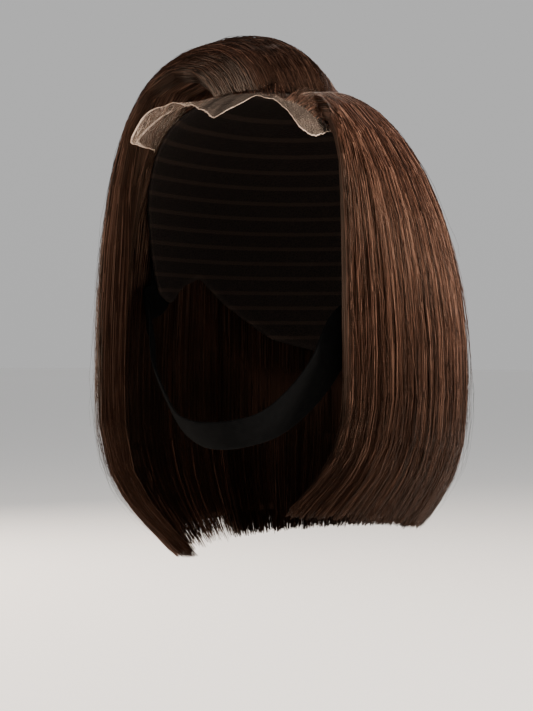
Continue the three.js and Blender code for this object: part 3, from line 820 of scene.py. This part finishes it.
def makeCap():
    wide, long = net["columns"], net["rows"]
    azimuth = np.linspace(-180, 180, wide, endpoint=False)[:, None]
    share = np.linspace(0, 1, long + 1)[None, 1:]
    rim = rimElevation(azimuth)
    elevation = 90 + (rim - 90) * share
    bound = net["binding"] * smooth(share, 1 - net["bindingShare"], 1 - net["bindingShare"] / 2)
    sides = [formPoint(azimuth + 0 * share, elevation, cap["wall"] + bound + 0 * azimuth),
             formPoint(azimuth + 0 * share, elevation, 0 * elevation)]
    points = [np.array([[0, 0, cap["wall"]], [0, 0, 0.0]])]
    points += [side.reshape(-1, 3) for side in sides]
    uvs = [np.array([[0.5, 0.0], [0.5, 0.0]])]
    uvs += [np.stack(np.broadcast_arrays(azimuth / 360 + 0.5, share), axis=-1).reshape(-1, 2)] * 2

    def at(side, k, row):
        return 2 + (side * wide + k % wide) * long + row

    faces = []
    for k in range(wide):
        faces.append([0, at(0, k, 0), at(0, k + 1, 0)])
        faces.append([1, at(1, k + 1, 0), at(1, k, 0)])
        for row in range(long - 1):
            faces.append([at(0, k, row), at(0, k, row + 1), at(0, k + 1, row + 1), at(0, k + 1, row)])
            faces.append([at(1, k, row), at(1, k + 1, row), at(1, k + 1, row + 1), at(1, k, row + 1)])
        end = long - 1
        faces.append([at(0, k, end), at(1, k, end), at(1, k + 1, end), at(0, k + 1, end)])
    return meshObject("cap_shell", np.concatenate(points), faces, np.concatenate(uvs), netMaterial())


finishPiece(makeCap(), "cap_net", "wig_cap")
print("cap made")


# Lace: sheer net past the front of the cap, with a wavy cut edge and a corner that stands away.
laceEdge = table(["azimuth", "drop", "shift", "lift", "ripple"], [
    [51, 3, 0, 0, 0], [46, 9, 0, 0, 0], [41, 14.5, 0, 0, 0], [36, 15, 0, 0, 0.5],
    [31, 10, 0, 0.06, 1], [23, 8, 0, 0.06, 0.6], [14, 6.5, 0, 0, 0.2], [8, 12, 0, 0, 0.3],
    [0, 19, 0, 0, 0.6], [-7, 17, 0, 0, 0.6], [-14, 14, 0, 0.04, 1], [-21, 11, 0, 0.14, 1],
    [-29, 9, 0, 0.35, 1], [-37, 9, 1, 0.62, 1], [-43, 11, 2, 0.7, 1], [-47, 13, 4, 0.64, 0.5],
    [-50, 7, 2, 0.06, 0], [-52.5, 4, 0, 0, 0],
])
lace = {
    "seat": 1.65, "thickness": 0.25, "overlap": 4, "ripple": 1.6, "wave": 11, "lift": 16,
    "columns": 180, "rows": 24, "cell": 0.9, "jags": ((0.16, 3.7, 0), (0.1, 9.1, 1)),
    "crease": (0.03, 0.3), "creaseDepth": 0.42, "creaseWidth": 0.035, "creaseCover": 0.35,
    "creaseLeast": 0.05, "curlEnds": (-0.02, 0.02), "curlCover": (0.85, 1.5),
    "color": (0.46, 0.34, 0.26), "solid": 0.22, "open": 0.0, "roughness": 0.6,
    "threadEnds": (0.02, 0.09), "gathers": (70, 2.2, 1), "foldEnds": (0.35, 0.7),
    "foldCover": (0.75, 1.35), "edgeEnds": (0.965, 0.995), "edgeCover": 0.7, "edgeFold": 0.85,
    "patchScale": 90.0, "patchEnds": (0.3, 0.7), "patchShades": (0.82, 1.12),
    "highlightEnds": (0.85, 0.98), "light": 1.35, "bump": (0.2, 0.0003),
}


def laceCrease(flow):  # a bright ridge across the lifted corner, and thicker net past it
    parts = partsOf(flow)
    share = mapped(parts[0], lace["crease"], (0.0, 1.0))
    bow = calc("SINE", times(share, math.pi))
    place = minus(1.0, times(bow, lace["creaseDepth"]))
    past = minus(parts[1], place)
    away = calc("DIVIDE", calc("ABSOLUTE", past), lace["creaseWidth"])
    near = calc("MAXIMUM", minus(1.0, away), 0.0)
    ridge = times(near, calc("GREATER_THAN", bow, lace["creaseLeast"]))
    return ridge, mapped(past, lace["curlEnds"], lace["curlCover"])


def laceMaterial(name, values):
    color = values["color"]
    material, tree, shader = newMaterial(name, color, lace["roughness"])
    place = placeOf(tree)
    distance = cellEdges(place, lace["cell"])
    thread = mapped(distance, lace["threadEnds"], (values["solid"], values["open"]))
    flow = flowOf(tree)
    down = partsOf(flow)[1]
    fold = streaksOf(flow, lace["gathers"], 1.0)
    fold = mapped(fold, lace["foldEnds"], lace["foldCover"])
    edge = mapped(down, lace["edgeEnds"], (0.0, lace["edgeCover"]))
    ridge, curl = laceCrease(flow)
    cover = times(times(thread, fold), curl)
    cover = calc("MAXIMUM", cover, times(ridge, lace["creaseCover"]))
    edge = times(edge, times(fold, lace["edgeFold"]))
    tree.links.new(calc("MAXIMUM", cover, edge), shader.inputs["Alpha"])
    patches = zip(lace["patchEnds"], lace["patchShades"])
    stops = [(end, [min(1, c * amount) for c in color]) for end, amount in patches]
    tint = ramp(noise(place, lace["patchScale"], 2.0), stops)
    # Painted highlight: the net's colour is brightened up to 1.35 times at the far end of the flow, the
    # lace's cut edge.
    light = mapped(down, lace["highlightEnds"], (1.0, lace["light"]))
    tree.links.new(scaled(tint, light), shader.inputs["Base Color"])
    bumped(shader, thread, *lace["bump"])
    return material


def makeLace():
    rows = laceEdge["rows"]
    overlap = math.degrees(lace["overlap"] / cap["dome"])
    outer, inner = [], []
    v = np.linspace(0, 1, lace["rows"] + 1)
    for i in range(lace["columns"] + 1):
        azimuth = blend(rows[-1, 0], rows[0, 0], i / lace["columns"])
        place = np.interp(azimuth, rows[::-1, 0], np.arange(len(rows))[::-1])
        row = rowAt(laceEdge, place)
        jag = sum(size * math.sin(azimuth * rate + shift) for size, rate, shift in lace["jags"])
        wave = 1 + math.sin(2 * math.pi * azimuth / lace["wave"])
        ripple = max(0, row["ripple"]) * lace["ripple"] * wave / 2
        lift = max(0, row["lift"]) * lace["lift"]
        elevation = rimElevation(azimuth) + overlap - (row["drop"] + jag + overlap) * v
        seat = lace["seat"] + ripple * v + lift * v * v
        along = azimuth + row["shift"] * v
        outer.append(formPoint(along, elevation, seat + lace["thickness"]))
        inner.append(formPoint(along, elevation, seat))
    return np.array(outer), np.array(inner)


outer, inner = makeLace()
laceSheet = slabObject("lace_sheet", outer, inner, laceMaterial("lace_net", lace))
finishPiece(laceSheet, "lace", "lace_front")

# Short fine hairs rooted on the lace: each strip goes along a hairline, and from roots to tips.
fringes = {
    "swoop_hairline": {
        "azimuths": (33, -40), "rootDrop": 4.5, "length": 10.0, "lean": -7.0, "lift": 6.0,
        "strands": {"Strands": 420, "Seed": 51},
    },
    "left_hairline": {
        "azimuths": (30, 52), "rootDrop": 4.0, "length": 4.5, "lean": 13.0, "lift": 5.0,
        "strands": {"Strands": 260, "Thickness": 0.00013, "Seed": 52},
    },
}
fringeSurface = {"rows": 12, "columns": 60, "above": 0.2, "liftGrowth": 1.5, "leanGrowth": 1.3}
fringeStrands = {
    "Points": 5, "Root Jitter": 0.35, "Fray": 0.5, "Depth": 0.0, "Clump Depth": 0.0, "Clumps": 60.0,
    "Wander": 0.10, "Frizz": 0.005, "Pull": 0.1, "Lift": 0.002, "Thickness": 0.00011,
}
for name, values in fringes.items():
    share = np.linspace(0, 1, fringeSurface["rows"])[None, :]
    azimuth = np.linspace(*values["azimuths"], fringeSurface["columns"])[:, None]
    elevation = rimElevation(azimuth) - values["rootDrop"] + values["length"] * share
    offset = lace["seat"] + fringeSurface["above"] + values["lift"] * share ** fringeSurface["liftGrowth"]
    offset = offset + 0 * azimuth
    leaning = azimuth + values["lean"] * share ** fringeSurface["leanGrowth"]
    outer = formPoint(leaning, elevation, offset)
    inner = formPoint(leaning, elevation, offset - 1)
    surface = guideSurface(name + "_guide", outer, inner)
    # The fringe hairs take the lighter copy as painted light.
    settings = {**fringeStrands, **values["strands"], "Material": strandFringePaintedLight}
    finishPiece(grow(name, surface, strandTree, settings), "hair")
    bpy.data.objects.remove(surface)

parting = {
    "steps": 60, "across": 6, "margin": 0.45, "thickness": 0.6, "reach": 0.02,
    "color": (0.30, 0.18, 0.12), "solid": 0.95, "open": 0.85,
}


def makeParting():
    half = hair["partingWidth"] / 2 - parting["margin"]
    reach = parting["reach"]
    outer, inner = [], []
    for i in range(parting["steps"] + 1):
        share = i / parting["steps"]
        here = rootPlan(rightRoots, share)
        way = rootPlan(rightRoots, min(1, share + reach)) - rootPlan(rightRoots, max(0, share - reach))
        way /= np.linalg.norm(way)
        sides = np.linspace(half, -half, parting["across"] + 1)
        spots = [here + np.array([-way[1], way[0]]) * side for side in sides]
        outer.append([formTop(x, y, lace["seat"] + parting["thickness"]) for x, y in spots])
        inner.append([formTop(x, y, lace["seat"]) for x, y in spots])
    return np.array(outer), np.array(inner)


outer, inner = makeParting()
partingStrip = slabObject("parting_strip", outer, inner, laceMaterial("parting_net", parting))
finishPiece(partingStrip, "lace", "parting_lace")
print("part made")


# Chin strap: flat woven elastic with rounded edges, sewn to both ear tabs.
strap = {
    "width": 20, "thickness": 1.5, "lift": 0.5, "tabAzimuth": 87, "tabElevations": [7, 1, -5],
    "jaw": (0, -0.2, -1.35), "sections": 180, "around": 20, "clearance": 0.45, "curveSteps": 24,
    "sewnEnds": (0.85, 1), "flatPower": 0.5, "thickPower": 0.6, "ribs": 15, "picks": 420,
    "color": (0.002, 0.002, 0.002), "roughness": 1.0, "specular": 0.04, "ribShare": 0.5,
    "weaveShare": 0.3, "grain": 300.0, "bump": (0.5, 0.0003),
    "shades": [(0.2, (0.0012, 0.0012, 0.0012)), (0.9, (0.0034, 0.0033, 0.0033))],
}
strapLine = table(["x", "y", "drop"], [
    [1.035, -0.18, 1.12], [0.93, -0.32, 1.17], [0.79, -0.43, 1.26], [0.7, -0.51, 1.46],
    [0.54, -0.57, 1.63], [0.36, -0.65, 1.75], [0.16, -0.73, 1.8], [0, -0.75, 1.81],
])


def centripetal(points, count):  # a centripetal Catmull-Rom curve through points
    p = np.concatenate([[2 * points[0] - points[1]], points, [2 * points[-1] - points[-2]]])
    out = []
    for i in range(1, len(p) - 2):
        knots = [0]
        for k in range(3):
            knots.append(knots[-1] + np.linalg.norm(p[i + k] - p[i + k - 1]) ** 0.5)
        for t in np.linspace(knots[1], knots[2], count, endpoint=False):
            mixed = p[i - 1:i + 3]
            for spans in (((0, 1), (1, 2), (2, 3)), ((0, 2), (1, 3)), ((1, 2),)):
                ends = [(knots[a], knots[b]) for a, b in spans]
                mixed = [
                    (late - t) / (late - early) * mixed[k] + (t - early) / (late - early) * mixed[k + 1]
                    for k, (early, late) in enumerate(ends)
                ]
            out.append(mixed[0])
    return np.array(out + [points[-1]])


def strapFrames():
    seat = cap["wall"] + strap["clearance"] + strap["thickness"] / 2 + strap["lift"]
    half = [formPoint(strap["tabAzimuth"], e, seat) for e in strap["tabElevations"]]
    sizes = np.array([cap["halfWidth"], cap["halfLength"], -cap["dome"]])
    half += [row * sizes for row in strapLine["rows"]]
    mirrored = [p * [-1, 1, 1] for p in half[-2::-1]]
    path = evenly(centripetal(np.array(half + mirrored), strap["curveSteps"]), strap["sections"])
    jaw = np.array(strap["jaw"]) * [cap["halfWidth"], cap["halfLength"], cap["dome"]]
    along = np.gradient(path, axis=0)
    along /= np.linalg.norm(along, axis=1, keepdims=True)
    sewn = smooth(np.abs(path[:, 0]) / cap["halfWidth"], *strap["sewnEnds"])[:, None]
    out = blend(path - jaw, path * [1, 0, 0], sewn)
    out -= along * (out * along).sum(axis=1, keepdims=True)
    out /= np.linalg.norm(out, axis=1, keepdims=True)
    return path, out, np.cross(along, out)


def elasticMaterial():
    material, tree, shader = newMaterial(
        "elastic_black", strap["color"], strap["roughness"], Specular_IOR_Level=strap["specular"],
    )
    flow = flowOf(tree)
    parts = partsOf(flow)
    ribs = calc("SINE", times(parts[0], 2 * math.pi * strap["ribs"]))
    picks = calc("SINE", times(parts[1], 2 * math.pi * strap["picks"]))
    ridges = times(ribs, strap["ribShare"])
    weave = plus(ridges, times(ribs, picks))
    place = placeOf(tree)
    grain = noise(place, strap["grain"], 2.0)
    height = plus(times(weave, strap["weaveShare"]), grain)
    tree.links.new(ramp(height, strap["shades"]), shader.inputs["Base Color"])
    bumped(shader, height, *strap["bump"])
    return material


def makeStrap():
    path, out, across = strapFrames()
    turn = np.linspace(0, 2 * math.pi, strap["around"], endpoint=False)
    flat = np.sign(np.cos(turn)) * np.abs(np.cos(turn)) ** strap["flatPower"] * strap["width"] / 2
    thick = np.sign(np.sin(turn)) * np.abs(np.sin(turn)) ** strap["thickPower"] * strap["thickness"] / 2
    rings = path[:, None] + across[:, None] * flat[None, :, None] + out[:, None] * thick[None, :, None]
    count, around = rings.shape[:2]
    faces = []
    for i in range(count - 1):
        for k in range(around):
            a, b = i * around + k, i * around + (k + 1) % around
            faces.append([a, b, b + around, a + around])
    faces.append(list(range(around))[::-1])
    faces.append([(count - 1) * around + k for k in range(around)])
    u = np.broadcast_to(flat / strap["width"] + 0.5, (count, around))
    v = np.broadcast_to(np.linspace(0, 1, count)[:, None], (count, around))
    flow = np.stack([u, v], axis=-1).reshape(-1, 2)
    return meshObject("chin_band", rings.reshape(-1, 3), faces, flow, elasticMaterial())


chinBand = makeStrap()
finishPiece(chinBand, "elastic", "chin_strap")
print("strap made")

# Studio: a pale floor below the held-up wig, soft lights and a pale surround.
studio = {
    "floor": -0.42, "floorSize": 60.0, "floorColor": (0.90, 0.89, 0.88), "floorRoughness": 0.7,
    "floorPatches": 3.0, "floorShade": 0.98, "aim": (0, 0, -0.12),
    "horizon": (0.53, 0.53, 0.53), "zenith": (0.58, 0.58, 0.58),
    "lights": [
        ("key", (2.1, 0.2, 0.6), 0.5, 160.0, (1.0, 0.92, 0.84)),
        ("fill", (-2.0, -0.8, -0.2), 0.8, 38.0, (1.0, 0.86, 0.72)),
        ("top", (-0.5, 0.9, 1.6), 0.5, 16.0, (1.0, 0.86, 0.72)),
        ("back", (-1.6, 0.9, 0.6), 0.6, 44.0, (1.0, 0.84, 0.70)),
    ],
}


def makeStudio():
    half = studio["floorSize"] / 2
    corners = [(-half, -half), (half, -half), (half, half), (-half, half)]
    points = np.array([(x, y, studio["floor"]) for x, y in corners]) / mm
    material, tree, shader = newMaterial("floor", studio["floorColor"], studio["floorRoughness"])
    shade = put(tree, "ShaderNodeTexNoise", {"Scale": studio["floorPatches"], "Detail": 2.0}).outputs[0]
    pale = studio["floorColor"]
    color = ramp(shade, [(0.3, [c * studio["floorShade"] for c in pale]), (0.7, pale)])
    tree.links.new(color, shader.inputs["Base Color"])
    floor = meshObject("floor", points, [[0, 1, 2, 3]], None, material)
    world = bpy.data.worlds.new("surround")
    world.use_nodes = True
    background = world.node_tree.nodes["Background"]
    way = put(world.node_tree, "ShaderNodeTexCoord").outputs["Generated"]
    height = partsOf(way)[2]
    sky = ramp(height, [(0.0, studio["horizon"]), (1.0, studio["zenith"])])
    world.node_tree.links.new(sky, background.inputs["Color"])
    bpy.context.scene.world = world
    for name, place, size, power, color in studio["lights"]:
        light = bpy.data.lights.new(name, "AREA")
        light.shape = "DISK"
        light.size = size
        light.energy = power
        light.color = color
        lamp = link(bpy.data.objects.new(name, light))
        lamp.location = place
        aim = Vector(studio["aim"]) - Vector(place)
        lamp.rotation_euler = aim.to_track_quat("-Z", "Y").to_euler()


makeStudio()
print("studio made")
